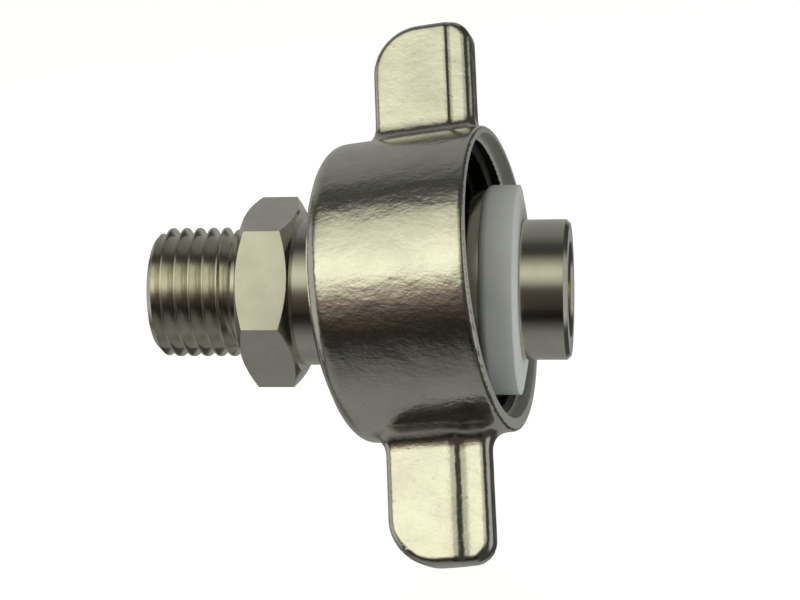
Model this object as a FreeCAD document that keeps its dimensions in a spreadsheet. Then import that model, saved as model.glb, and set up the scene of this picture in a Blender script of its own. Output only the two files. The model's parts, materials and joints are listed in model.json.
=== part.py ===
import FreeCAD, Part
import math
import os
import re
import Sketcher

# Quick disconnect coupler: a threaded body with a loose wing nut, a face seal and a sprung valve.
# X runs along the flow axis from the tail to the nose, +Z is up, and all sizes are in millimetres.
# The origin is on the flow axis, in the shoulder where the tail thread meets the hexagon.

os.makedirs("parts", exist_ok=True)
doc = FreeCAD.newDocument("QuickDisconnectCoupler")

DIMENSIONS = {
    # small sizes used all over
    "edge_break": 0.3,
    "press_gap": 0.02,
    "slide_gap": 0.03,
    "end_gap": 0.1,
    "thread_overrun": 0.1,
    # tail thread, M14 x 1.5
    "tail_length": 10.1,
    "tail_radius": 7.0,
    "tail_chamfer": 0.9,
    "tail_pitch": 1.5,
    "tail_thread_depth": 1.08,
    "relief_length": 1.1,
    "relief_radius": 5.9,
    "relief_slope": 0.4,
    "seat_recess_radius": 7.25,
    "seat_recess_depth": 0.15,
    "bore_radius": 4.2,
    "bore_chamfer": 0.6,
    # hexagon and neck
    "hex_flats": 18.0,
    "hex_width": 5.8,
    "hex_face_radius": 8.7,
    "neck_radius": 7.95,
    "neck_length": 18.4,
    "socket_radius": 6.5,
    "socket_depth": 7.6,
    # nose tube
    "flange_width": 1.5,
    "flange_radius": 10.6,
    "shank_radius": 6.47,
    "shank_length": 7.3,
    "chamber_radius": 4.6,
    "gland_root": 5.4,
    "gland_start": 3.6,
    "gland_width": 2.1,
    "nose_length": 8.8,
    "nose_radius": 7.45,
    "nose_chamfer": 0.4,
    "mouth_radius": 5.0,
    "mouth_depth": 1.3,
    "throat_radius": 3.7,
    "throat_chamfer": 0.6,
    "seat_shoulder": 3.5,
    "clip_groove_start": 0.7,
    "clip_groove_width": 0.65,
    "clip_groove_radius": 5.1,
    # face seal
    "ring_radius": 11.15,
    "ring_width": 3.5,
    "ring_dome": 0.35,
    "ring_land": 1.9,
    "ring_back_round": 0.85,
    "ring_seat_step": 0.2,
    "ring_fit": 0.02,
    "ring_end_play": 0.05,
    "ring_lead_in": 0.25,
    # wing nut, M30 x 2
    "nut_length": 17.0,
    "nut_radius": 16.2,
    "nut_back_radius": 14.4,
    "nut_shoulder_width": 1.0,
    "nut_shoulder_fall": 0.1,
    "nut_shoulder_round": 1.5,
    "nut_hole_radius": 8.45,
    "web_width": 2.9,
    "web_recess_radius": 11.7,
    "nut_floor": 4.0,
    "nut_thread_radius": 13.92,
    "nut_pitch": 2.0,
    "nut_thread_depth": 1.08,
    "nut_relief_radius": 15.05,
    "nut_relief_end": 6.4,
    "nut_entry_radius": 15.1,
    "nut_entry_depth": 1.4,
    "nut_rim_length": 0.4,
    "nut_edge_break": 0.35,
    "nut_thread_chamfer": 0.7,
    "top_wing_reach": 29.1,
    "bottom_wing_reach": 30.2,
    "wing_back": 3.9,
    "wing_front": 14.9,
    "wing_thickness": 4.0,
    "wing_back_round": 5.2,
    "wing_front_round": 2.4,
    "wing_edge_round": 0.9,
    # how the loose nut hangs on the neck
    "nut_centre": 12.11,
    "nut_tilt": 9.5,
    "nut_tilt_side": 60.0,
    "wing_turn": 37.0,
    # washers on the neck
    "bearing_washer_width": 1.0,
    "bearing_washer_inner": 8.6,
    "bearing_washer_outer": 11.6,
    "slip_washer_start": 16.45,
    "slip_washer_width": 0.6,
    "slip_washer_inner": 8.02,
    "slip_washer_outer": 10.0,
    # shank seal
    "oring_section": 0.54,
    "backup_ring_width": 0.8,
    # valve
    "seal_face": 28.9,
    "seal_outer": 4.1,
    "seal_rim": 0.82,
    "seal_width": 1.52,
    "seat_length": 1.5,
    "seat_throat": 3.35,
    "seat_bevel": 1.0,
    "stem_radius": 1.2,
    "stem_end": 17.3,
    "head_width": 1.2,
    "head_radius": 4.15,
    "head_boss": 0.8,
    "spigot_radius": 1.1,
    "spigot_length": 3.3,
    "tip_length": 3.5,
    "tip_flange": 2.6,
    "tip_flange_width": 0.8,
    "plunger_radius": 1.7,
    "plunger_chamfer": 0.5,
    "guide_start": 18.27,
    "guide_width": 1.4,
    "guide_hub": 1.26,
    "guide_port_circle": 2.9,
    "guide_port_radius": 0.85,
    "spring_radius": 3.25,
    "spring_wire": 0.35,
    "spring_turns": 5.5,
    "clip_inner": 3.9,
    "clip_gap": 2.4,
}

GUIDE_PORTS = 5

sheet = doc.addObject("Spreadsheet::Sheet", "Dimensions")
for row, (alias, size) in enumerate(DIMENSIONS.items(), start=1):
    sheet.set(f"A{row}", alias.replace("_", " "))
    sheet.set(f"B{row}", str(size))
    sheet.setAlias(f"B{row}", alias)
doc.recompute()


def formula(text):
    """Point every name in an expression at the sheet, leaving functions and numbers alone."""

    def point(found):
        word = found.group()
        return f"Dimensions.{word}" if word in DIMENSIONS else word

    return re.sub(r"[a-z_]+", point, text)


def value(text):
    """The present value of an expression in sheet names."""
    return float(sheet.evalExpression(formula(text)))


def origin_plane(body, role):
    """One of a body's own datum planes."""
    return next(plane for plane in body.Origin.OriginFeatures if plane.Role == role)


def new_body(name):
    """An empty body whose label is the sub-part's name."""
    body = doc.addObject("PartDesign::Body", name)
    body.Label = name
    return body


def new_sketch(body, name, role="XZ_Plane"):
    """A sketch on one of the body's datum planes."""
    sketch = body.newObject("Sketcher::SketchObject", name)
    sketch.AttachmentSupport = [(origin_plane(body, role), "")]
    sketch.MapMode = "FlatFace"
    return sketch


def dimension(sketch, kind, geometry, point, text):
    """Dimension one point from the sketch's origin with a sheet expression."""
    size = value(text)
    if abs(size) < 1e-9:
        axis = -1 if kind == "DistanceY" else -2
        sketch.addConstraint(Sketcher.Constraint("PointOnObject", geometry, point, axis))
        return
    index = sketch.addConstraint(Sketcher.Constraint(kind, -1, 1, geometry, point, size))
    sketch.setExpression(f"Constraints[{index}]", formula(text))


def outline(sketch, corners):
    """A closed polygon through (along, across) expressions, every corner dimensioned."""
    first = sketch.GeometryCount
    points = [FreeCAD.Vector(value(along), value(across), 0) for along, across in corners]
    count = len(points)
    for index in range(count):
        sketch.addGeometry(Part.LineSegment(points[index], points[(index + 1) % count]), False)
    for index in range(count):
        following = first + (index + 1) % count
        sketch.addConstraint(Sketcher.Constraint("Coincident", first + index, 2, following, 1))
    for index, (along, across) in enumerate(corners):
        dimension(sketch, "DistanceX", first + index, 1, along)
        dimension(sketch, "DistanceY", first + index, 1, across)


def revolve(body, corners, name="Turned"):
    """Turn a closed outline of (along, radius) corners round the X axis."""
    sketch = new_sketch(body, name + "Outline")
    outline(sketch, corners)
    feature = body.newObject("PartDesign::Revolution", name)
    feature.Profile = sketch
    feature.ReferenceAxis = (sketch, ["H_Axis"])
    feature.Angle = 360
    body.Tip = feature
    return feature


def groove(body, corners, name):
    """Cut a closed outline of (along, radius) corners away round the X axis."""
    sketch = new_sketch(body, name + "Outline")
    outline(sketch, corners)
    feature = body.newObject("PartDesign::Groove", name)
    feature.Profile = sketch
    feature.ReferenceAxis = (sketch, ["H_Axis"])
    feature.Angle = 360
    body.Tip = feature
    return feature


def turned(name, corners):
    """A whole sub-part turned from one outline."""
    body = new_body(name)
    revolve(body, corners)
    return body


def washer(name, start, width, inner, outer):
    """A plain flat ring on the flow axis."""
    end = f"{start} + {width}"
    return turned(name, [(start, inner), (end, inner), (end, outer), (start, outer)])


def cut_thread(body, corners, pitch, height, name):
    """Cut a right-hand screw thread with a groove profile that climbs along X."""
    sketch = new_sketch(body, name + "Profile")
    outline(sketch, corners)
    feature = body.newObject("PartDesign::SubtractiveHelix", name)
    feature.Profile = sketch
    feature.ReferenceAxis = (sketch, ["H_Axis"])
    feature.Mode = 0
    feature.Pitch = value(pitch)
    feature.setExpression("Pitch", formula(pitch))
    feature.Height = value(height)
    feature.setExpression("Height", formula(height))
    feature.LeftHanded = False
    body.Tip = feature
    return feature


def fillet(body, name, radius, wanted):
    """Round the edges of the body's tip that the test accepts."""
    doc.recompute()
    base = body.Tip
    edges = [f"Edge{index}" for index, edge in enumerate(base.Shape.Edges, start=1) if wanted(edge)]
    feature = body.newObject("PartDesign::Fillet", name)
    feature.Base = (base, edges)
    feature.Radius = value(radius)
    feature.setExpression("Radius", formula(radius))
    body.Tip = feature
    return feature


def pocket(body, sketch, name, reach):
    """Cut a sketch on the YZ plane away from the origin along +X."""
    feature = body.newObject("PartDesign::Pocket", name)
    feature.Profile = sketch
    feature.Reversed = True
    feature.Length = value(reach)
    feature.setExpression("Length", formula(reach))
    body.Tip = feature
    return feature


# Distances along the flow axis that several sub-parts share.
NECK_END = "( hex_width + neck_length )"
SHANK_START = f"( {NECK_END} - shank_length )"
RING_BACK = f"( {NECK_END} + flange_width )"
RING_FRONT = f"( {RING_BACK} + ring_width + ring_dome )"
NOSE_END = f"( {RING_BACK} + nose_length )"
HEX_CORNER = "( hex_flats / ( 2 * cos(30) ) )"


def build_coupler_body():
    """The main body: tail thread, hexagon, neck and the bore through them."""
    body = new_body("coupler_body")
    revolve(body, [
        ("-1 * tail_length", "0"),
        ("-1 * tail_length", "tail_radius - tail_chamfer"),
        ("-1 * tail_length + tail_chamfer", "tail_radius"),
        ("-1 * relief_length - relief_slope", "tail_radius"),
        ("-1 * relief_length", "relief_radius"),
        ("0", "relief_radius"),
        ("0", "neck_radius"),
        (f"{NECK_END} - edge_break", "neck_radius"),
        (NECK_END, "neck_radius - edge_break"),
        (NECK_END, "0"),
    ])
    hexagon = new_sketch(body, "HexagonOutline", "YZ_Plane")
    outline(hexagon, [
        (f"{HEX_CORNER} * cos({turn})", f"{HEX_CORNER} * sin({turn})") for turn in range(0, 360, 60)
    ])
    pad = body.newObject("PartDesign::Pad", "Hexagon")
    pad.Profile = hexagon
    pad.setExpression("Length", formula("hex_width"))
    body.Tip = pad
    clear = f"( {HEX_CORNER} + 1 )"
    rise = f"( {clear} - hex_face_radius ) * tan(30)"
    groove(body, [("0", "hex_face_radius"), ("0", clear), (rise, clear)], "BackCorners")
    groove(body, [
        ("hex_width", "hex_face_radius"),
        ("hex_width", clear),
        (f"hex_width - {rise}", clear),
    ], "FrontCorners")
    groove(body, [
        ("-1 * tail_length", "0"),
        ("-1 * tail_length", "bore_radius + bore_chamfer"),
        ("-1 * tail_length + bore_chamfer", "bore_radius"),
        (f"{NECK_END} - socket_depth", "bore_radius"),
        (f"{NECK_END} - socket_depth", "socket_radius"),
        (NECK_END, "socket_radius"),
        (NECK_END, "0"),
    ], "FlowBore")
    groove(body, [
        ("0", "relief_radius"),
        ("0", "seat_recess_radius"),
        ("seat_recess_depth", "seat_recess_radius"),
        ("seat_recess_depth", "relief_radius"),
    ], "SeatRecess")
    start = "( -1 * tail_length - tail_pitch / 2 )"
    crest = "tail_pitch * 7 / 16"
    root = f"{crest} - tail_thread_depth * tan(30)"
    mouth = f"{crest} + thread_overrun * tan(30)"
    cut_thread(body, [
        (f"{start} - ( {mouth} )", "tail_radius + thread_overrun"),
        (f"{start} + {mouth}", "tail_radius + thread_overrun"),
        (f"{start} + {root}", "tail_radius - tail_thread_depth"),
        (f"{start} - ( {root} )", "tail_radius - tail_thread_depth"),
    ], "tail_pitch", "tail_length", "TailThread")
    return body


def build_nose_tube():
    """The nose, the flange that keeps the nut on, and the shank that goes into the neck."""
    gland = f"( {SHANK_START} + gland_start )"
    clip = f"( {SHANK_START} + clip_groove_start )"
    return turned("nose_tube", [
        (SHANK_START, "shank_radius - edge_break"),
        (f"{SHANK_START} + edge_break", "shank_radius"),
        (gland, "shank_radius"),
        (gland, "gland_root"),
        (f"{gland} + gland_width", "gland_root"),
        (f"{gland} + gland_width", "shank_radius"),
        (NECK_END, "shank_radius"),
        (NECK_END, "flange_radius - edge_break"),
        (f"{NECK_END} + edge_break", "flange_radius"),
        (RING_BACK, "flange_radius"),
        (RING_BACK, "nose_radius - ring_seat_step"),
        (f"{RING_FRONT} + ring_end_play", "nose_radius - ring_seat_step"),
        (f"{RING_FRONT} + ring_end_play", "nose_radius"),
        (f"{NOSE_END} - nose_chamfer", "nose_radius"),
        (NOSE_END, "nose_radius - nose_chamfer"),
        (NOSE_END, "mouth_radius + edge_break"),
        (f"{NOSE_END} - edge_break", "mouth_radius"),
        (f"{NOSE_END} - mouth_depth", "mouth_radius"),
        (f"{NOSE_END} - mouth_depth - throat_chamfer", "throat_radius"),
        (f"{NOSE_END} - seat_shoulder", "throat_radius"),
        (f"{NOSE_END} - seat_shoulder", "chamber_radius"),
        (f"{clip} + clip_groove_width", "chamber_radius"),
        (f"{clip} + clip_groove_width", "clip_groove_radius"),
        (clip, "clip_groove_radius"),
        (clip, "chamber_radius"),
        (SHANK_START, "chamber_radius"),
    ])


def build_seal_ring():
    """The plastic face seal: a flat land round the nose, falling away to a plain rim."""
    hole = "nose_radius - ring_seat_step + ring_fit"
    body = turned("seal_ring", [
        (RING_BACK, hole),
        (RING_BACK, "ring_radius"),
        (f"{RING_BACK} + ring_width", "ring_radius"),
        (RING_FRONT, "nose_radius + ring_land"),
        (RING_FRONT, f"{hole} + ring_lead_in"),
        (f"{RING_FRONT} - ring_lead_in", hole),
    ])
    back = value(RING_BACK)
    rim = value("ring_radius")
    fillet(body, "BackRound", "ring_back_round", lambda edge: (
        edge.Curve.TypeId == "Part::GeomCircle"
        and abs(edge.Curve.Radius - rim) < 0.01
        and abs(edge.Curve.Center.x - back) < 0.01
    ))
    return body


def build_valve_seat():
    """The plastic ring the valve closes on, against the shoulder behind the nose's throat."""
    end = f"( {NOSE_END} - seat_shoulder )"
    start = f"( {end} - seat_length )"
    return turned("valve_seat", [
        (start, "chamber_radius - press_gap"),
        (start, "seat_throat + seat_bevel"),
        (f"{start} + seat_bevel", "seat_throat"),
        (end, "seat_throat"),
        (end, "chamber_radius - press_gap"),
    ])


def build_shank_seals():
    """The O-ring in the shank's gland and the plastic ring that backs it."""
    gland = f"( {SHANK_START} + gland_start )"
    oring = doc.addObject("Part::Torus", "shank_oring")
    oring.Label = "shank_oring"
    oring.setExpression("Radius1", formula("( gland_root + socket_radius ) / 2"))
    oring.setExpression("Radius2", formula("oring_section"))
    oring.Placement.Rotation = FreeCAD.Rotation(FreeCAD.Vector(0, 1, 0), 90)
    oring.setExpression(".Placement.Base.x", formula(f"{gland} + oring_section + slide_gap"))
    backup = washer(
        "shank_backup_ring",
        f"{gland} + gland_width - backup_ring_width - end_gap",
        "backup_ring_width",
        "gland_root + press_gap",
        "socket_radius - press_gap",
    )
    return [oring, backup]


def build_poppet():
    """The moving valve: stem and head, the rubber it closes with, and the tip that clamps it."""
    back = "( seal_face - head_width )"
    poppet = turned("poppet", [
        ("stem_end", "0"),
        ("stem_end", "stem_radius - edge_break"),
        ("stem_end + edge_break", "stem_radius"),
        (f"{back} - head_boss", "stem_radius"),
        (f"{back} - head_boss", "spring_radius - spring_wire - end_gap"),
        (back, "spring_radius - spring_wire - end_gap"),
        (back, "head_radius"),
        ("seal_face", "head_radius"),
        ("seal_face", "spigot_radius"),
        ("seal_face + spigot_length", "spigot_radius"),
        ("seal_face + spigot_length", "0"),
    ])
    seal = turned("poppet_seal", [
        ("seal_face", "spigot_radius + slide_gap"),
        ("seal_face", "seal_outer"),
        ("seal_face + seal_rim", "seal_outer"),
        ("seal_face + seal_width", "seal_outer - seal_width + seal_rim"),
        ("seal_face + seal_width", "spigot_radius + slide_gap"),
    ])
    start = "( seal_face + seal_width )"
    tip = turned("poppet_tip", [
        (start, "spigot_radius + slide_gap"),
        (start, "tip_flange"),
        (f"{start} + tip_flange_width", "tip_flange"),
        (f"{start} + tip_flange_width", "plunger_radius"),
        (f"{start} + tip_length - plunger_chamfer", "plunger_radius"),
        (f"{start} + tip_length", "plunger_radius - plunger_chamfer"),
        (f"{start} + tip_length", "0"),
        ("seal_face + spigot_length + end_gap", "0"),
        ("seal_face + spigot_length + end_gap", "spigot_radius + slide_gap"),
    ])
    return [poppet, seal, tip]


def build_valve_spring():
    """The compression spring between the guide and the back of the poppet's head."""
    body = new_body("valve_spring")
    start = "( guide_start + guide_width + spring_wire + press_gap )"
    end = "( seal_face - head_width - spring_wire - press_gap )"
    sketch = new_sketch(body, "WireSection")
    centre = FreeCAD.Vector(value(start), value("spring_radius"), 0)
    sketch.addGeometry(Part.Circle(centre, FreeCAD.Vector(0, 0, 1), value("spring_wire")), False)
    dimension(sketch, "DistanceX", 0, 3, start)
    dimension(sketch, "DistanceY", 0, 3, "spring_radius")
    index = sketch.addConstraint(Sketcher.Constraint("Radius", 0, value("spring_wire")))
    sketch.setExpression(f"Constraints[{index}]", formula("spring_wire"))
    coil = body.newObject("PartDesign::AdditiveHelix", "Coil")
    coil.Profile = sketch
    coil.ReferenceAxis = (sketch, ["H_Axis"])
    coil.Mode = 0
    coil.setExpression("Pitch", formula(f"( {end} - {start} ) / spring_turns"))
    coil.setExpression("Height", formula(f"{end} - {start}"))
    body.Tip = coil
    return body


def build_valve_guide():
    """The drilled disc that carries the stem and lets the flow past."""
    body = washer("valve_guide", "guide_start", "guide_width", "guide_hub", "chamber_radius - press_gap")
    sketch = new_sketch(body, "PortOutline", "YZ_Plane")
    for port in range(GUIDE_PORTS):
        turn = port * 360 / GUIDE_PORTS
        across = f"guide_port_circle * cos({turn})"
        up = f"guide_port_circle * sin({turn})"
        centre = FreeCAD.Vector(value(across), value(up), 0)
        sketch.addGeometry(Part.Circle(centre, FreeCAD.Vector(0, 0, 1), value("guide_port_radius")), False)
        dimension(sketch, "DistanceX", port, 3, across)
        dimension(sketch, "DistanceY", port, 3, up)
        index = sketch.addConstraint(Sketcher.Constraint("Radius", port, value("guide_port_radius")))
        sketch.setExpression(f"Constraints[{index}]", formula("guide_port_radius"))
    pocket(body, sketch, "Ports", "guide_start + guide_width + 1")
    return body


def build_guide_clip():
    """The internal retaining ring behind the guide, with its gap at the top."""
    start = f"{SHANK_START} + clip_groove_start + press_gap"
    body = washer(
        "guide_clip",
        start,
        "clip_groove_width - 2 * press_gap",
        "clip_inner",
        "clip_groove_radius - slide_gap",
    )
    sketch = new_sketch(body, "GapOutline", "YZ_Plane")
    outline(sketch, [
        ("-1 * clip_gap / 2", "clip_inner - 1"),
        ("clip_gap / 2", "clip_inner - 1"),
        ("clip_gap / 2", "clip_groove_radius + 1"),
        ("-1 * clip_gap / 2", "clip_groove_radius + 1"),
    ])
    pocket(body, sketch, "Gap", "guide_start + 2")
    return body


def hang_on_neck(body):
    """Tilt a sub-part drawn in the nut's own frame to where the loose nut hangs on the neck."""
    body.setExpression(".Placement.Rotation.Axis.x", "0")
    body.setExpression(".Placement.Rotation.Axis.y", formula("-1 * sin( nut_tilt_side )"))
    body.setExpression(".Placement.Rotation.Axis.z", formula("-1 * cos( nut_tilt_side )"))
    body.setExpression(".Placement.Rotation.Angle", formula("nut_tilt"))
    half = "web_width / 2"
    body.setExpression(".Placement.Base.x", formula(f"nut_centre - {half} * cos( nut_tilt )"))
    sideways = f"{half} * sin( nut_tilt )"
    body.setExpression(".Placement.Base.y", formula(f"{sideways} * cos( nut_tilt_side )"))
    body.setExpression(".Placement.Base.z", formula(f"-1 * {sideways} * sin( nut_tilt_side )"))


def add_wing(body, name, turn, reach):
    """One flat wing standing out from the nut's wall."""
    sketch = new_sketch(body, name + "Outline")
    sketch.setExpression("AttachmentOffset.Rotation.Axis.x", "1")
    sketch.setExpression("AttachmentOffset.Rotation.Axis.y", "0")
    sketch.setExpression("AttachmentOffset.Rotation.Axis.z", "0")
    sketch.setExpression("AttachmentOffset.Rotation.Angle", formula(turn))
    root = "nut_radius - 0.8"
    outline(sketch, [
        ("wing_back", root),
        ("wing_front", root),
        ("wing_front", reach),
        ("wing_back", reach),
    ])
    pad = body.newObject("PartDesign::Pad", name)
    pad.Profile = sketch
    pad.setExpression("Length", formula("wing_thickness"))
    pad.Midplane = True
    body.Tip = pad


def corner_of_wing(along):
    """A test for the straight edges across a wing's outer corner."""
    reaches = (value("top_wing_reach"), value("bottom_wing_reach"))
    place = value(along)

    def wanted(edge):
        middle = edge.CenterOfMass
        radius = math.hypot(middle.y, middle.z)
        at_tip = min(abs(radius - reach) for reach in reaches) < 0.05
        straight = edge.Curve.TypeId == "Part::GeomLine" and edge.BoundBox.XLength < 0.01
        return at_tip and straight and abs(middle.x - place) < 0.01

    return wanted


def edge_of_wing_face(edge):
    """Whether an edge is the outer border of a wing's flat face, clear of the nut's wall."""
    turn = math.radians(value("wing_turn"))
    half = value("wing_thickness / 2")
    for vertex in edge.Vertexes:
        point = vertex.Point
        across = point.y * math.cos(turn) - point.z * math.sin(turn)
        if abs(abs(across) - half) > 0.01 or point.x < value("wing_back") - 0.01:
            return False
        if point.x > value("wing_front") + 0.01:
            return False
    radius = max(math.hypot(vertex.Point.y, vertex.Point.z) for vertex in edge.Vertexes)
    return radius > value("nut_radius") + 3


def build_wing_nut():
    """The wing nut in its own frame, with the back face at X 0 and the mouth towards +X."""
    body = new_body("wing_nut")
    revolve(body, [
        ("0", "nut_hole_radius + nut_edge_break"),
        ("0", "nut_back_radius"),
        ("nut_shoulder_width", "nut_radius - nut_shoulder_fall"),
        ("nut_length - nut_rim_length", "nut_radius"),
        ("nut_length", "nut_radius - nut_edge_break"),
        ("nut_length", "nut_entry_radius"),
        ("nut_length - nut_entry_depth", "nut_entry_radius"),
        ("nut_length - nut_entry_depth", "nut_thread_radius + nut_thread_chamfer"),
        ("nut_length - nut_entry_depth - nut_thread_chamfer", "nut_thread_radius"),
        ("nut_relief_end", "nut_thread_radius"),
        ("nut_relief_end", "nut_relief_radius"),
        ("nut_floor", "nut_relief_radius"),
        ("nut_floor", "web_recess_radius"),
        ("web_width", "web_recess_radius"),
        ("web_width", "nut_hole_radius"),
        ("nut_edge_break", "nut_hole_radius"),
    ], "Shell")
    shoulder = value("nut_radius - nut_shoulder_fall")
    place = value("nut_shoulder_width")
    fillet(body, "Shoulder", "nut_shoulder_round", lambda edge: (
        edge.Curve.TypeId == "Part::GeomCircle"
        and abs(edge.Curve.Radius - shoulder) < 0.01
        and abs(edge.Curve.Center.x - place) < 0.01
    ))
    add_wing(body, "TopWing", "-1 * wing_turn", "top_wing_reach")
    add_wing(body, "BottomWing", "180 - wing_turn", "bottom_wing_reach")
    fillet(body, "BackRounds", "wing_back_round", corner_of_wing("wing_back"))
    fillet(body, "FrontRounds", "wing_front_round", corner_of_wing("wing_front"))
    fillet(body, "WingEdges", "wing_edge_round", edge_of_wing_face)
    start = "( nut_relief_end - 1 )"
    crest = "nut_pitch * 3 / 8"
    root = f"{crest} - nut_thread_depth * tan(30)"
    mouth = f"{crest} + thread_overrun * tan(30)"
    cut_thread(body, [
        (f"{start} - ( {mouth} )", "nut_thread_radius - thread_overrun"),
        (f"{start} + {mouth}", "nut_thread_radius - thread_overrun"),
        (f"{start} + {root}", "nut_thread_radius + nut_thread_depth"),
        (f"{start} - ( {root} )", "nut_thread_radius + nut_thread_depth"),
    ], "nut_pitch", f"nut_length - 0.5 - {start}", "NutThread")
    hang_on_neck(body)
    return body


def build_washers():
    """The bearing washer, which tilts with the nut, and the slip washer, which rides on the neck."""
    bearing = washer(
        "bearing_washer", "web_width + slide_gap", "bearing_washer_width",
        "bearing_washer_inner", "bearing_washer_outer",
    )
    hang_on_neck(bearing)
    slip = washer(
        "slip_washer", "slip_washer_start", "slip_washer_width",
        "slip_washer_inner", "slip_washer_outer",
    )
    return [bearing, slip]


subparts = [
    build_coupler_body(),
    build_nose_tube(),
    build_seal_ring(),
    build_valve_seat(),
    *build_shank_seals(),
    *build_poppet(),
    build_valve_spring(),
    build_valve_guide(),
    build_guide_clip(),
    build_wing_nut(),
    *build_washers(),
]
doc.recompute()

for item in doc.Objects:
    if "Invalid" in item.State or "Error" in item.State:
        raise RuntimeError(f"{item.Label} did not compute: {item.State}")
for subpart in subparts:
    if subpart.Shape.isNull() or not subpart.Shape.isValid():
        raise RuntimeError(f"{subpart.Label} is not a valid solid")
    subpart.Shape.exportStep(os.path.join("parts", subpart.Label + ".step"))
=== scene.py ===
"""Looks for the quick disconnect coupler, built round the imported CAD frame. Lengths are in metres."""

import json
import math

import bmesh
import bpy
import numpy as np
from mathutils import Matrix, Vector, noise


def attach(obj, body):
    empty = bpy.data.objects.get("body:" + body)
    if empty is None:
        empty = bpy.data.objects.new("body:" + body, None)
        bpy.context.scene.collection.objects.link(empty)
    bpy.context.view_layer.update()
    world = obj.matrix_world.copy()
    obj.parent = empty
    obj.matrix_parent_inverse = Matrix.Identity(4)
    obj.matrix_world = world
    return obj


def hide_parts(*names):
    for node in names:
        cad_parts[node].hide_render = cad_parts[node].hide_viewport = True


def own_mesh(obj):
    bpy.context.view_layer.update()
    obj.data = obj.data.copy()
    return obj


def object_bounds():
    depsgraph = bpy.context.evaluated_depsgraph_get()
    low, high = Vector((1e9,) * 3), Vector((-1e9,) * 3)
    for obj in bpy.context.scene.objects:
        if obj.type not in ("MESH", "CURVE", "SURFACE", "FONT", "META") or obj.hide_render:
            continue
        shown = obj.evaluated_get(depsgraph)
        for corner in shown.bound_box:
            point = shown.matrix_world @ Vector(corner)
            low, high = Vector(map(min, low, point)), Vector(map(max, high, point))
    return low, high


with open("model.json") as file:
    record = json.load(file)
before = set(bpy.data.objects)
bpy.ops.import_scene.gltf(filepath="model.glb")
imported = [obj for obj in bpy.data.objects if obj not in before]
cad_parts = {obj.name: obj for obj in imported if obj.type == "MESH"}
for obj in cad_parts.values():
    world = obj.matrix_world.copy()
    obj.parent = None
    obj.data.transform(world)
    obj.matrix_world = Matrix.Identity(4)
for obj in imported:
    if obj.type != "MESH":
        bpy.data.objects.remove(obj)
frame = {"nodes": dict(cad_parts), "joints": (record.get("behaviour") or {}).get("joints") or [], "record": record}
cad_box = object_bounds()
MM = 0.001


# ---------------------------------------------------------------- node helpers


class Nodes:
    """A short way to add linked shader nodes to one material or world."""

    def __init__(self, tree):
        self.tree = tree
        tree.nodes.clear()

    def add(self, kind, settings=None, **inputs):
        """A new node, with its settings and its inputs; an input's name has _ for each space."""
        node = self.tree.nodes.new(kind)
        for name, setting in (settings or {}).items():
            setattr(node, name, setting)
        for name, source in inputs.items():
            self.feed(node, name.replace("_", " "), source)
        return node

    def feed(self, node, name, source):
        """Link or set one input, given by its name, or by its place as "in 2"."""
        socket = node.inputs[int(name[3:])] if name.startswith("in ") else node.inputs[name]
        if isinstance(source, bpy.types.NodeSocket):
            self.tree.links.new(source, socket)
        else:
            socket.default_value = source

    def math(self, operation, first, second=0.0, third=0.0):
        node = self.add("ShaderNodeMath", {"operation": operation})
        for place, source in enumerate((first, second, third)):
            self.feed(node, f"in {place}", source)
        return node.outputs[0]

    def between(self, source, low, high, start=0.0, end=1.0):
        """source, from low to high, turned smoothly into start to end."""
        node = self.add("ShaderNodeMapRange", {"interpolation_type": "SMOOTHSTEP"}, Value=source)
        for name, number in (("From Min", low), ("From Max", high), ("To Min", start), ("To Max", end)):
            node.inputs[name].default_value = number
        return node.outputs[0]

    def mix(self, share, first, second):
        node = self.add("ShaderNodeMix", {"data_type": "RGBA"})
        for place, source in ((0, share), (6, first), (7, second)):
            self.feed(node, f"in {place}", source)
        return node.outputs[2]

    def noise(self, vector, scale, detail=2.0, roughness=0.5):
        node = self.add("ShaderNodeTexNoise", Vector=vector, Scale=scale, Detail=detail, Roughness=roughness)
        return node.outputs[0]

    def bump(self, height, distance, strength=1.0, normal=None):
        node = self.add("ShaderNodeBump", Height=height, Distance=distance, Strength=strength)
        if normal is not None:
            self.feed(node, "Normal", normal)
        return node.outputs[0]


def rgba(colour, gain=1.0):
    """A colour of three parts, made brighter or darker, with its alpha."""
    return (colour[0] * gain, colour[1] * gain, colour[2] * gain, 1.0)


def new_material(name):
    """A material, its nodes, its shader and the place on the object as a texture coordinate."""
    material = bpy.data.materials.new(name)
    material.use_nodes = True
    nodes = Nodes(material.node_tree)
    shader = nodes.add("ShaderNodeBsdfPrincipled")
    output = nodes.add("ShaderNodeOutputMaterial")
    nodes.tree.links.new(shader.outputs[0], output.inputs[0])
    place = nodes.add("ShaderNodeTexCoord").outputs["Object"]
    return material, nodes, shader, place


def edge_wear(nodes, radius):
    """The rounded normal at an edge, and how near the edge a point is, from 0 to 1."""
    soft = nodes.add("ShaderNodeBevel", {"samples": 4}, Radius=radius).outputs[0]
    flat = nodes.add("ShaderNodeNewGeometry").outputs["Normal"]
    likeness = nodes.add("ShaderNodeVectorMath", {"operation": "DOT_PRODUCT"})
    nodes.tree.links.new(soft, likeness.inputs[0])
    nodes.tree.links.new(flat, likeness.inputs[1])
    return soft, nodes.between(likeness.outputs["Value"], 0.99, 0.80)


# ---------------------------------------------------------------- materials


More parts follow.
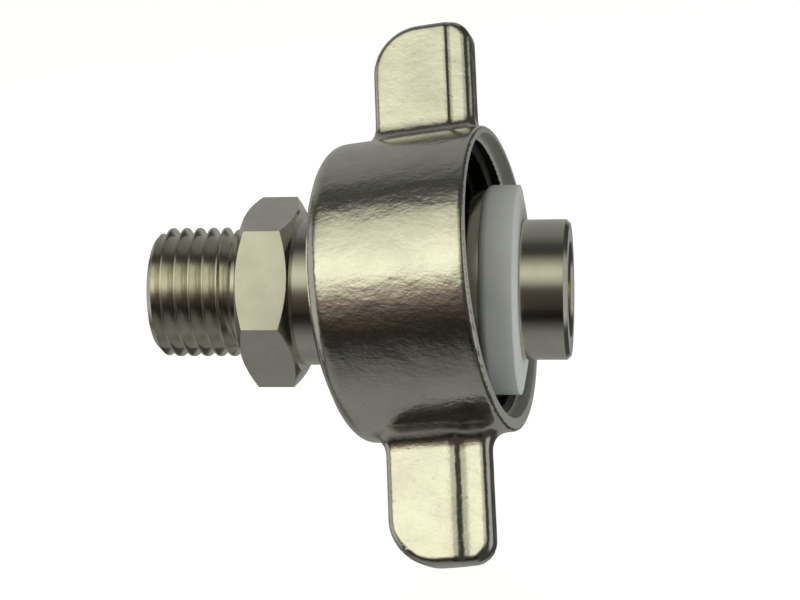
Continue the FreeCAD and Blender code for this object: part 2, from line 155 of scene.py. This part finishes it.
def turned_metal(name, colour, dull, bright, wear_colour, metallic=1.0):
    """Metal turned on a lathe about X: rings of tool marks, soft stains, burnished edges."""
    material, nodes, shader, place = new_material(name)
    shader.inputs["Metallic"].default_value = metallic
    soft, wear = edge_wear(nodes, 0.10 * MM)
    parts = nodes.add("ShaderNodeSeparateXYZ", Vector=place).outputs
    squares = [nodes.math("MULTIPLY", part, part) for part in (parts[1], parts[2])]
    radius = nodes.math("SQRT", nodes.math("ADD", *squares))
    rings = nodes.add("ShaderNodeCombineXYZ", X=parts[0], Y=radius).outputs[0]
    marks = nodes.noise(rings, 9000.0, detail=3.0, roughness=0.6)
    stain = nodes.noise(place, 260.0, detail=4.0, roughness=0.6)
    cloud = nodes.between(stain, 0.35, 0.68)
    body = nodes.mix(cloud, rgba(colour), rgba(colour, 0.90))
    nodes.feed(shader, "Base Color", nodes.mix(wear, body, rgba(wear_colour)))
    unevenness = nodes.math("MULTIPLY_ADD", marks, 0.5, nodes.math("MULTIPLY", stain, 0.5))
    nodes.feed(shader, "Roughness", nodes.between(unevenness, 0.35, 0.65, bright, dull))
    nodes.feed(shader, "Normal", nodes.bump(marks, 0.0007 * MM, normal=soft))
    return material


def cast_metal(name, colour, wear_colour):
    """A plated sand casting: pits and short polishing streaks under bright plate, burnished edges."""
    material, nodes, shader, place = new_material(name)
    shader.inputs["Metallic"].default_value = 1.0
    soft, wear = edge_wear(nodes, 0.15 * MM)
    along = nodes.add("ShaderNodeMapping", Vector=place)
    along.inputs["Scale"].default_value = (0.65, 1.0, 1.0)
    lumps = nodes.noise(along.outputs[0], 800.0, detail=2.0, roughness=0.5)
    dimples = nodes.noise(along.outputs[0], 2100.0, detail=3.0, roughness=0.6)
    grain = nodes.noise(place, 4200.0, detail=2.0, roughness=0.6)
    stain = nodes.noise(place, 180.0, detail=4.0, roughness=0.6)
    pits = nodes.add("ShaderNodeTexVoronoi", {"feature": "F1"}, Vector=along.outputs[0], Scale=650.0)
    pitted = nodes.between(pits.outputs[0], 0.16, 0.05)
    body = nodes.mix(nodes.between(stain, 0.35, 0.68), rgba(colour), rgba(colour, 0.88))
    body = nodes.mix(nodes.math("MULTIPLY", pitted, 0.35), body, rgba(colour, 0.55))
    nodes.feed(shader, "Base Color", nodes.mix(wear, body, rgba(wear_colour)))
    unevenness = nodes.math("ADD", grain, nodes.math("MULTIPLY", stain, 0.6))
    nodes.feed(shader, "Roughness", nodes.between(unevenness, 0.55, 1.05, 0.10, 0.20))
    relief = nodes.bump(grain, 0.004 * MM, normal=soft)
    relief = nodes.bump(pitted, 0.010 * MM, strength=0.5, normal=relief)
    relief = nodes.bump(dimples, 0.030 * MM, normal=relief)
    nodes.feed(shader, "Normal", nodes.bump(lumps, 0.034 * MM, normal=relief))
    return material


def moulded_plastic(name, colour):
    """Satin, slightly translucent moulded plastic, scuffed paler along its edges."""
    material, nodes, shader, place = new_material(name)
    soft, wear = edge_wear(nodes, 0.18 * MM)
    cloud = nodes.noise(place, 240.0, detail=4.0)
    grain = nodes.noise(place, 5200.0, detail=2.0)
    body = nodes.mix(nodes.between(cloud, 0.35, 0.65), rgba(colour), rgba(colour, 0.93))
    scuff = nodes.math("MULTIPLY", wear, 0.6)
    nodes.feed(shader, "Base Color", nodes.mix(scuff, body, (0.93, 0.94, 0.93, 1)))
    nodes.feed(shader, "Roughness", nodes.between(grain, 0.35, 0.65, 0.34, 0.46))
    shader.inputs["Subsurface Weight"].default_value = 0.35
    shader.inputs["Subsurface Radius"].default_value = (1.0, 1.0, 0.9)
    shader.inputs["Subsurface Scale"].default_value = 1.2 * MM
    shader.inputs["IOR"].default_value = 1.42
    nodes.feed(shader, "Normal", nodes.bump(grain, 0.002 * MM, normal=soft))
    return material


def moulded_rubber(name, colour):
    """Matt moulded rubber with a faint bloom and paler, scuffed edges."""
    material, nodes, shader, place = new_material(name)
    soft, wear = edge_wear(nodes, 0.08 * MM)
    bloom = nodes.noise(place, 700.0, detail=4.0)
    grain = nodes.noise(place, 9000.0, detail=2.0)
    body = nodes.mix(nodes.between(bloom, 0.4, 0.7), rgba(colour), rgba(colour, 1.9))
    scuff = nodes.math("MULTIPLY", wear, 0.5)
    nodes.feed(shader, "Base Color", nodes.mix(scuff, body, (0.11, 0.11, 0.11, 1)))
    nodes.feed(shader, "Roughness", nodes.between(bloom, 0.35, 0.65, 0.55, 0.72))
    nodes.feed(shader, "Normal", nodes.bump(grain, 0.003 * MM, normal=soft))
    return material


def drawn_wire(name, colour):
    """Spring steel wire with fine drawing scratches and rubbed high spots."""
    material, nodes, shader, place = new_material(name)
    shader.inputs["Metallic"].default_value = 1.0
    soft, wear = edge_wear(nodes, 0.05 * MM)
    scratch = nodes.noise(place, 12000.0, detail=3.0)
    stain = nodes.noise(place, 900.0, detail=3.0)
    body = nodes.mix(nodes.between(stain, 0.35, 0.65), rgba(colour), rgba(colour, 0.80))
    nodes.feed(shader, "Base Color", nodes.mix(wear, body, rgba(colour, 1.35)))
    nodes.feed(shader, "Roughness", nodes.between(scratch, 0.35, 0.65, 0.20, 0.36))
    nodes.feed(shader, "Normal", nodes.bump(scratch, 0.0008 * MM, normal=soft))
    return material


NICKEL = (0.76, 0.74, 0.665)
WORN_NICKEL = (0.84, 0.81, 0.72)
BRASS = (0.80, 0.62, 0.28)
WORN_BRASS = (0.90, 0.76, 0.44)
BRONZE = (0.62, 0.40, 0.20)
WORN_BRONZE = (0.78, 0.56, 0.32)
FACED = (0.66, 0.66, 0.61)
WORN_FACED = (0.80, 0.79, 0.73)
# Painted shade: the nut's threaded hollow is given this dark grey to stand in for the shade inside it, with paler
# worn edges.
SHADED = (0.20, 0.19, 0.17)
WORN_SHADED = (0.34, 0.32, 0.28)
FINISHES = {
    "plated_turned": turned_metal("plated_turned", NICKEL, 0.20, 0.10, WORN_NICKEL),
    "mouth_face": turned_metal("mouth_face", FACED, 0.46, 0.34, WORN_FACED, metallic=0.45),
    # Painted shade: a dark grey turned finish for the threads inside the nut, where little light reaches.
    "thread_shade": turned_metal("thread_shade", SHADED, 0.42, 0.30, WORN_SHADED),
    "plated_cast": cast_metal("plated_cast", NICKEL, WORN_NICKEL),
    "white_plastic": moulded_plastic("white_plastic", (0.80, 0.835, 0.815)),
    "bronze": turned_metal("bronze", BRONZE, 0.38, 0.24, WORN_BRONZE),
    "plain_brass": turned_metal("plain_brass", BRASS, 0.30, 0.16, WORN_BRASS),
    "black_rubber": moulded_rubber("black_rubber", (0.022, 0.022, 0.023)),
    "spring_steel": drawn_wire("spring_steel", (0.56, 0.56, 0.57)),
}


def dress(thing, finish):
    """Give the whole object one finish."""
    thing.data.materials.clear()
    thing.data.materials.append(FINISHES[finish])


for subpart in frame["record"]["subparts"]:
    dress(frame["nodes"][subpart["node"]], subpart["material_slot"])


# ---------------------------------------------------------------- the wing nut's casting

# Sizes in millimetres, in the nut's own frame: X from its back face to its mouth.
NUT_LENGTH = 17.0
NUT_RADIUS = 16.2
NUT_BACK_RADIUS = 14.4
SHOULDER_WIDTH = 1.0
SHOULDER_FALL = 0.1
SHOULDER_BLEND = 0.9
BACK_EDGE_BLEND = 0.4
MOUTH_EDGE_BLEND = 0.5
COUNTERBORE_DEPTH = 1.4
PLUG_RADIUS = 15.45
WEB_WIDTH = 2.9
# The casting sits this far off the machined bore, in Y and Z.
CAST_OFFSET = (-0.1, -0.3)
WING_ROOT = 10.0
WING_BACK = 3.9
WING_FRONT = 14.9
WING_REACHES = {1: 29.3, -1: 29.85}
WING_THICKNESS = 4.0
WING_BACK_ROUND = 5.2
WING_FRONT_ROUND = 2.4
WING_EDGE_ROUND = 0.9
WING_TURN = math.radians(37.0)
WING_FOOT = 2.2
# The step across each wing's faces: where it is along X, how deep and how wide.
STEPS = {1: (12.4, 0.24, 0.34), -1: (11.7, 0.50, 1.5)}
STEP_SHARPNESS = 6
# How far the cast skin lifts and sinks, where along X it stops behind the mouth, and its waves.
SKIN_WAVE = 0.020
SKIN_END = NUT_LENGTH - 0.25
SKIN_FADE = 0.6
BACK_FADE = 0.5
BROAD_WAVES = (0.30, 0.45, 0.45)
FINE_WAVES = (0.55, 1.1, 1.1)
FINE_SHIFT = (9, 0, 0)
FINE_SHARE = 0.5
# The casting's mesh: its grid, the rounds that even it out, and how it is drawn onto the surface.
GRID = 0.21
EVENING_ROUNDS = 6
GRADIENT_REACH = 0.01
SMALLEST_SLOPE = 0.05
FAR_AWAY = 99.0
# Corners nearer than this are one; edges sharper than this stay hard; a face this square to X is flat.
WELD = 1e-4
HARD_EDGE = math.radians(32)
FLATNESS = 0.95
FACE_SLACK = 0.05
BACK_FACE_RADIUS = NUT_BACK_RADIUS - 0.5


def smooth_max(first, second, width):
    """The larger of two distances, blended over a width, which rounds an outside corner."""
    blend = np.maximum(width - np.abs(first - second), 0.0) / width
    return np.maximum(first, second) + blend * blend * width / 4


def smooth_min(first, second, width):
    """The smaller of two distances, blended over a width, which fillets an inside corner."""
    return -smooth_max(-first, -second, width)


def cup_distance(points):
    """Signed distance, near enough, to the nut's outer wall."""
    x = points[:, 0]
    r = np.hypot(points[:, 1] - CAST_OFFSET[0], points[:, 2] - CAST_OFFSET[1])
    side = r - NUT_RADIUS + SHOULDER_FALL * (1 - x / NUT_LENGTH)
    rise = NUT_RADIUS - SHOULDER_FALL - NUT_BACK_RADIUS
    slant = math.hypot(rise, SHOULDER_WIDTH)
    shoulder = ((r - NUT_BACK_RADIUS) * SHOULDER_WIDTH - x * rise) / slant
    wall = smooth_max(side, shoulder, SHOULDER_BLEND)
    wall = smooth_max(wall, -x, BACK_EDGE_BLEND)
    return smooth_max(wall, x - NUT_LENGTH, MOUTH_EDGE_BLEND)


def wing_distance(points, side):
    """Signed distance to one flat wing, its corners and edges rounded, with a step across its faces."""
    x = points[:, 0]
    y = points[:, 1] - CAST_OFFSET[0]
    z = points[:, 2] - CAST_OFFSET[1]
    out = side * (y * math.sin(WING_TURN) + z * math.cos(WING_TURN))
    across = side * (y * math.cos(WING_TURN) - z * math.sin(WING_TURN))
    middle = (WING_BACK + WING_FRONT) / 2
    half = (WING_FRONT - WING_BACK) / 2
    corner = np.where(x < middle, WING_BACK_ROUND, WING_FRONT_ROUND)
    from_side = np.abs(x - middle) - half + corner
    from_end = out - WING_REACHES[side] + corner
    outline = np.hypot(np.maximum(from_side, 0), np.maximum(from_end, 0)) - corner
    outline += np.minimum(np.maximum(from_side, from_end), 0)
    place, depth, width = STEPS[side]
    step = depth / (1 + np.exp(-(x - place) / width * STEP_SHARPNESS))
    face = np.abs(across) - WING_THICKNESS / 2 + step
    rim = outline + WING_EDGE_ROUND
    face = face + WING_EDGE_ROUND
    edge = np.hypot(np.maximum(rim, 0), np.maximum(face, 0)) + np.minimum(np.maximum(rim, face), 0)
    return np.where(out > 0, edge - WING_EDGE_ROUND, FAR_AWAY)


def casting_distance(points):
    """Signed distance to the cup and its two wings, filleted where they meet."""
    wings = np.minimum(wing_distance(points, 1), wing_distance(points, -1))
    return smooth_min(cup_distance(points), wings, WING_FOOT)


def gradient(points):
    """Which way the distance grows at each point, and how fast."""
    slopes = np.empty_like(points)
    for axis in range(3):
        shift = np.zeros(3)
        shift[axis] = GRADIENT_REACH
        slopes[:, axis] = casting_distance(points + shift) - casting_distance(points - shift)
    return slopes / (2 * GRADIENT_REACH)


def onto_surface(points, rounds):
    """The points drawn along the gradient until they lie on the casting's surface."""
    for _ in range(rounds):
        slope = gradient(points)
        size = np.maximum((slope * slope).sum(1), SMALLEST_SLOPE)
        points = points - slope * (casting_distance(points) / size)[:, None]
    return points


def mesh_object(name, corners, faces):
    """A new object in the scene, from its corners and faces."""
    mesh = bpy.data.meshes.new(name)
    mesh.from_pydata([tuple(c) for c in corners], [], faces)
    mesh.update()
    thing = bpy.data.objects.new(name, mesh)
    bpy.context.scene.collection.objects.link(thing)
    return thing


def lathe(name, outline, turns=96):
    """A closed solid turned about X from its outline of (x, radius), first and last points on the axis."""
    rim = outline[1:-1]
    angles = [2 * math.pi * k / turns for k in range(turns)]
    corners = [(x, r * math.cos(a), r * math.sin(a)) for x, r in rim for a in angles]
    first, last = len(corners), len(corners) + 1
    corners += [(outline[0][0], 0, 0), (outline[-1][0], 0, 0)]
    faces = []
    for k in range(turns):
        after = (k + 1) % turns
        faces.append((first, after, k))
        tail = (len(rim) - 1) * turns
        faces.append((last, tail + k, tail + after))
        for ring in range(len(rim) - 1):
            base = ring * turns
            faces.append((base + k, base + after, base + turns + after, base + turns + k))
    thing = mesh_object(name, corners, faces)
    facing_out(thing)
    return thing


def facing_out(thing):
    """Turn every face of a closed mesh outwards."""
    build = bmesh.new()
    build.from_mesh(thing.data)
    bmesh.ops.recalc_face_normals(build, faces=build.faces)
    build.to_mesh(thing.data)
    build.free()


def applied(thing, kind, **settings):
    """The object with one modifier applied to its mesh."""
    modifier = thing.modifiers.new("step", kind)
    for name, setting in settings.items():
        setattr(modifier, name, setting)
    view = bpy.context.evaluated_depsgraph_get()
    made = bpy.data.meshes.new_from_object(thing.evaluated_get(view))
    thing.modifiers.clear()
    thing.data = made
    return thing


def wing_block(side):
    """A rough block where a wing stands, a little small, for the remesh to start from."""
    tip = WING_REACHES[side]
    inset = 0.6
    bevel = WING_BACK_ROUND * 0.7
    half_thickness = WING_THICKNESS / 2 - 0.1
    outline = [
        (WING_BACK, WING_ROOT), (WING_FRONT, WING_ROOT), (WING_FRONT, tip - WING_FRONT_ROUND),
        (WING_FRONT - WING_FRONT_ROUND, tip), (WING_BACK + bevel, tip - inset),
        (WING_BACK + inset, tip - bevel),
    ]
    out = Vector((0, math.sin(WING_TURN), math.cos(WING_TURN))) * side
    across = Vector((0, math.cos(WING_TURN), -math.sin(WING_TURN))) * side
    corners = []
    for lift in (-1, 1):
        for x, reach in outline:
            corners.append(Vector((x, 0, 0)) + out * reach + across * lift * half_thickness)
    count = len(outline)
    faces = [tuple(range(count)), tuple(range(2 * count - 1, count - 1, -1))]
    for k in range(count):
        after = (k + 1) % count
        faces.append((k, k + count, after + count, after))
    thing = mesh_object("wing_block", corners, faces)
    facing_out(thing)
    return thing


def joined(things):
    """One object from several, which are used up."""
    build = bmesh.new()
    for thing in things:
        build.from_mesh(thing.data)
        bpy.data.objects.remove(thing)
    mesh = bpy.data.meshes.new("joined")
    build.to_mesh(mesh)
    build.free()
    whole = bpy.data.objects.new("joined", mesh)
    bpy.context.scene.collection.objects.link(whole)
    return whole


def relaxed(mesh):
    """The mesh's corners, evened out and drawn onto the casting's true surface."""
    points = np.empty(len(mesh.vertices) * 3)
    mesh.vertices.foreach_get("co", points)
    points = points.reshape(-1, 3)
    edges = np.empty(len(mesh.edges) * 2, np.int32)
    mesh.edges.foreach_get("vertices", edges)
    edges = edges.reshape(-1, 2)
    share = np.bincount(edges.ravel(), minlength=len(points))[:, None]
    points = onto_surface(points, rounds=5)
    for _ in range(EVENING_ROUNDS):
        total = np.zeros_like(points)
        np.add.at(total, edges[:, 0], points[edges[:, 1]])
        np.add.at(total, edges[:, 1], points[edges[:, 0]])
        points = onto_surface(0.5 * points + 0.5 * total / share, rounds=2)
    return points


def cast_skin(points):
    """The points, with the cast skin lifted and sunk a little and the machined faces left flat."""
    normal = gradient(points)
    normal /= np.linalg.norm(normal, axis=1)[:, None]
    radius = np.hypot(points[:, 1], points[:, 2])
    cast = np.clip((SKIN_END - points[:, 0]) / SKIN_FADE, 0, 1)
    cast *= np.clip(np.maximum(points[:, 0] / BACK_FADE, (radius - NUT_BACK_RADIUS) / BACK_FADE), 0, 1)
    lift = np.array([
        noise.noise(Vector(broad)) + FINE_SHARE * noise.noise(Vector(fine))
        for broad, fine in zip(points * BROAD_WAVES, points * FINE_WAVES + FINE_SHIFT)
    ])
    return points + normal * (SKIN_WAVE * lift * cast)[:, None]


def nut_frame():
    """From the nut's own frame, in millimetres, to the row's frame, in metres."""
    spin = next(j for j in frame["joints"] if j["name"] == "nut_spin")
    axis = Vector(spin["axis"]).normalized()
    turn = Vector((1, 0, 0)).rotation_difference(axis).to_matrix().to_4x4()
    start = Vector(spin["pos_m"]) - axis * (WEB_WIDTH / 2 * MM)
    return Matrix.Translation(start) @ turn @ Matrix.Scale(MM, 4)


def machined_hollow():
    """The nut's threaded hollow as a solid: a plug cut back by the CAD nut."""
    end = NUT_LENGTH + 1
    plug = lathe("plug", [(-1, 0), (-1, PLUG_RADIUS), (end, PLUG_RADIUS), (end, 0)], turns=128)
    nut = bpy.data.objects.new("nut_copy", frame["nodes"]["wing_nut"].data.copy())
    nut.data.transform(nut_frame().inverted())
    bpy.context.scene.collection.objects.link(nut)
    build = bmesh.new()
    build.from_mesh(nut.data)
    bmesh.ops.remove_doubles(build, verts=build.verts, dist=WELD)
    build.to_mesh(nut.data)
    build.free()
    applied(plug, "BOOLEAN", operation="DIFFERENCE", object=nut, solver="EXACT")
    bpy.data.objects.remove(nut)
    return plug


def build_casting():
    """The wing nut: a rounded casting with the CAD nut's threaded hollow cut from it."""
    body = lathe("cup", [(0, 0), (0, NUT_BACK_RADIUS), (SHOULDER_WIDTH, NUT_RADIUS - SHOULDER_FALL),
                         (NUT_LENGTH, NUT_RADIUS), (NUT_LENGTH, 0)])
    whole = joined([body, wing_block(1), wing_block(-1)])
    applied(whole, "REMESH", mode="VOXEL", voxel_size=GRID)
    points = cast_skin(relaxed(whole.data))
    whole.data.vertices.foreach_set("co", points.ravel())
    whole.data.update()
    dress(whole, "plated_cast")
    hollow = machined_hollow()
    # The threads inside get the dark grey of painted shade.
    dress(hollow, "thread_shade")
    applied(whole, "BOOLEAN", operation="DIFFERENCE", object=hollow, solver="EXACT",
            material_mode="TRANSFER")
    bpy.data.objects.remove(hollow)
    whole.name = "wing_nut_casting"
    whole.data.name = "wing_nut_casting"
    machined_faces(whole.data)
    whole.data.transform(nut_frame())
    return whole


def machined_faces(mesh):
    """Give the flat rings and the counterbore the turned finish, and keep the hard edges hard."""
    # The hollow's dark material is painted shade.
    hollow_shade_index = mesh.materials.find("thread_shade")
    turned_finish = len(mesh.materials)
    mesh.materials.append(FINISHES["mouth_face"])
    build = bmesh.new()
    build.from_mesh(mesh)
    bmesh.ops.remove_doubles(build, verts=build.verts, dist=2 * WELD)
    for face in build.faces:
        face.smooth = True
        x, y, z = face.calc_center_median()
        flat = abs(face.normal.x) > FLATNESS
        behind = x < FACE_SLACK and math.hypot(y, z) < BACK_FACE_RADIUS
        hollow = face.material_index == hollow_shade_index
        mouth = hollow and x > NUT_LENGTH - COUNTERBORE_DEPTH - FACE_SLACK
        if mouth or (flat and (x > NUT_LENGTH - FACE_SLACK or behind)):
            face.material_index = turned_finish
    for edge in build.edges:
        edge.smooth = len(edge.link_faces) == 2 and edge.calc_face_angle() < HARD_EDGE
    build.to_mesh(mesh)
    build.free()


casting = build_casting()
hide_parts("wing_nut")
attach(casting, "wing_nut")


# ---------------------------------------------------------------- the valve's spring


def build_spring():
    """The spring as its own piece, in spring steel, fixed to the body."""
    spring = bpy.data.objects.new("valve_spring_coil", frame["nodes"]["valve_spring"].data.copy())
    bpy.context.scene.collection.objects.link(spring)
    dress(spring, "spring_steel")
    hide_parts("valve_spring")
    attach(spring, "body")
    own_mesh(spring)


build_spring()


# ---------------------------------------------------------------- floor, light and camera

FLOOR_DROP = 0.030
FLOOR_REACH = 4


def build_floor():
    """A plain pale floor below the object, which its metal doesn't mirror."""
    low = cad_box[0][2] - FLOOR_DROP
    corners = [(FLOOR_REACH * x, FLOOR_REACH * y, low) for x, y in ((-1, -1), (1, -1), (1, 1), (-1, 1))]
    floor = mesh_object("floor", corners, [(0, 1, 2, 3)])
    material, nodes, shader, place = new_material("floor")
    tone = nodes.noise(place, 3.0, detail=2.0)
    nodes.feed(shader, "Base Color", nodes.mix(tone, (0.90, 0.90, 0.90, 1), (0.93, 0.93, 0.93, 1)))
    shader.inputs["Roughness"].default_value = 0.9
    shader.inputs["Emission Color"].default_value = (1, 1, 1, 1)
    shader.inputs["Emission Strength"].default_value = 0.72
    floor.data.materials.append(material)
    floor.visible_glossy = False
    floor.visible_diffuse = False
    floor.visible_shadow = False


GREY = (1.0, 1.0, 0.96)
WARM = (1.0, 1.0, 0.79)
BROWN = (1.0, 0.80, 0.67)

# What stands round the object, by the angle in degrees about X from level in front, up and over:
# (angle, brightness to the left, brightness to the right, tint)
SURROUNDINGS = [
    (-180, 0.34, 0.34, GREY),
    (-118, 0.22, 0.25, GREY),
    (-101, 0.12, 0.24, GREY),
    (-88, 0.14, 0.24, GREY),
    (-72, 0.26, 0.25, GREY),
    (-52, 0.22, 0.19, GREY),
    (-36, 0.16, 0.075, GREY),
    (-26, 0.07, 0.012, GREY),
    (-15, 0.016, 0.012, GREY),
    (-5, 0.040, 0.050, BROWN),
    (5, 0.10, 0.06, BROWN),
    (13, 0.24, 0.065, BROWN),
    (19, 0.38, 0.075, BROWN),
    (25, 0.82, 0.09, WARM),
    (32, 1.18, 0.33, WARM),
    (40, 1.28, 0.55, WARM),
    (50, 1.17, 0.68, WARM),
    (61, 0.94, 0.52, WARM),
    (74, 0.78, 0.20, WARM),
    (83, 0.56, 0.05, WARM),
    (90, 0.14, 0.045, GREY),
    (100, 0.045, 0.06, GREY),
    (109, 0.075, 0.12, GREY),
    (124, 0.20, 0.21, GREY),
    (142, 0.26, 0.25, GREY),
    (180, 0.34, 0.34, GREY),
]


# How far to the left or right each part of the surroundings reaches, from -1 to 1 along X: the left
# and right brightnesses above meet between the first two, and the bands about BAND_CENTRE give way to
# a dark grey beyond it and to a light grey at both ends.
LEFT_MEETS_RIGHT = (-0.40, -0.12)
BAND_CENTRE = -0.25
BAND_EDGE = (0.45, 0.58)
END_EDGE = (0.80, 0.93)
BEYOND_BANDS = (0.055, 0.055, 0.050, 1)
AT_THE_ENDS = (0.45, 0.45, 0.43, 1)


def colour_ramp(nodes, share, stops):
    """A colour ramp through stops of (angle in degrees, colour)."""
    ramp = nodes.add("ShaderNodeValToRGB", Fac=share)
    marks = ramp.color_ramp.elements
    marks[0].color = rgba(stops[0][1])
    marks[-1].color = rgba(stops[-1][1])
    for angle, colour in stops[1:-1]:
        marks.new(angle / 360 + 0.5).color = rgba(colour)
    return ramp.outputs[0]


def tinted(tint, level):
    """A tint at a brightness."""
    return tuple(part * level for part in tint)


def build_surroundings():
    """The world: light and dark bands round X, which the plating mirrors."""
    world = bpy.data.worlds.new("studio")
    bpy.context.scene.world = world
    world.use_nodes = True
    nodes = Nodes(world.node_tree)
    direction = nodes.add("ShaderNodeTexCoord").outputs["Generated"]
    parts = nodes.add("ShaderNodeSeparateXYZ", Vector=direction).outputs
    turn = nodes.math("ARCTAN2", parts[2], nodes.math("MULTIPLY", parts[1], -1.0))
    share = nodes.math("MULTIPLY_ADD", turn, 1 / (2 * math.pi), 0.5)
    left_stops = [(angle, tinted(tint, level)) for angle, level, _, tint in SURROUNDINGS]
    right_stops = [(angle, tinted(tint, level)) for angle, _, level, tint in SURROUNDINGS]
    left = colour_ramp(nodes, share, left_stops)
    right = colour_ramp(nodes, share, right_stops)
    colour = nodes.mix(nodes.between(parts[0], *LEFT_MEETS_RIGHT), left, right)
    sideways = nodes.math("ABSOLUTE", nodes.math("ADD", parts[0], -BAND_CENTRE))
    colour = nodes.mix(nodes.between(sideways, *BAND_EDGE), colour, BEYOND_BANDS)
    ends = nodes.between(nodes.math("ABSOLUTE", parts[0]), *END_EDGE)
    colour = nodes.mix(ends, colour, AT_THE_ENDS)
    sky = nodes.add("ShaderNodeBackground", Color=colour, Strength=1.0)
    output = nodes.add("ShaderNodeOutputWorld")
    nodes.tree.links.new(sky.outputs[0], output.inputs[0])


# The camera at the photograph's viewing angle: where it stands, and where its right and up point.
CAMERA_PLACE = Vector((0.045505, -0.181142, 0.075797))
CAMERA_RIGHT = Vector((0.98903, 0.13340, -0.06346))
CAMERA_UP = Vector((0.00623, 0.39158, 0.92012))
CAMERA_LENS = 83.25
SENSOR_WIDTH = 36.0


def build_camera():
    """The camera, standing and turned as the photograph's."""
    lens = bpy.data.cameras.new("camera")
    lens.lens = CAMERA_LENS
    lens.sensor_width = SENSOR_WIDTH
    lens.clip_start = 0.01
    camera = bpy.data.objects.new("camera", lens)
    camera_back = CAMERA_RIGHT.cross(CAMERA_UP)
    turn = Matrix((CAMERA_RIGHT, CAMERA_UP, camera_back)).transposed().to_4x4()
    camera.matrix_world = Matrix.Translation(CAMERA_PLACE) @ turn
    bpy.context.scene.collection.objects.link(camera)
    bpy.context.scene.camera = camera


FILL_WIDTH = 0.5
FILL_TARGET = Vector((0.02, 0, 0))


def build_fill(name, place, energy):
    """A soft, wide light, which the bright metal doesn't mirror."""
    lamp = bpy.data.lights.new(name, "AREA")
    lamp.size = FILL_WIDTH
    lamp.energy = energy
    fill = bpy.data.objects.new(name, lamp)
    fill.location = place
    fill.rotation_euler = (FILL_TARGET - fill.location).to_track_quat("-Z", "Y").to_euler()
    fill.visible_glossy = False
    fill.visible_camera = False
    bpy.context.scene.collection.objects.link(fill)


build_floor()
build_surroundings()
build_fill("fill_above", (0.02, -0.15, 0.45), 0.50)
build_fill("fill_below", (0.02, -0.15, -0.45), 0.38)
build_fill("fill_right", (0.50, -0.08, -0.12), 1.4)
build_camera()
bpy.context.scene.view_settings.view_transform = "Standard"
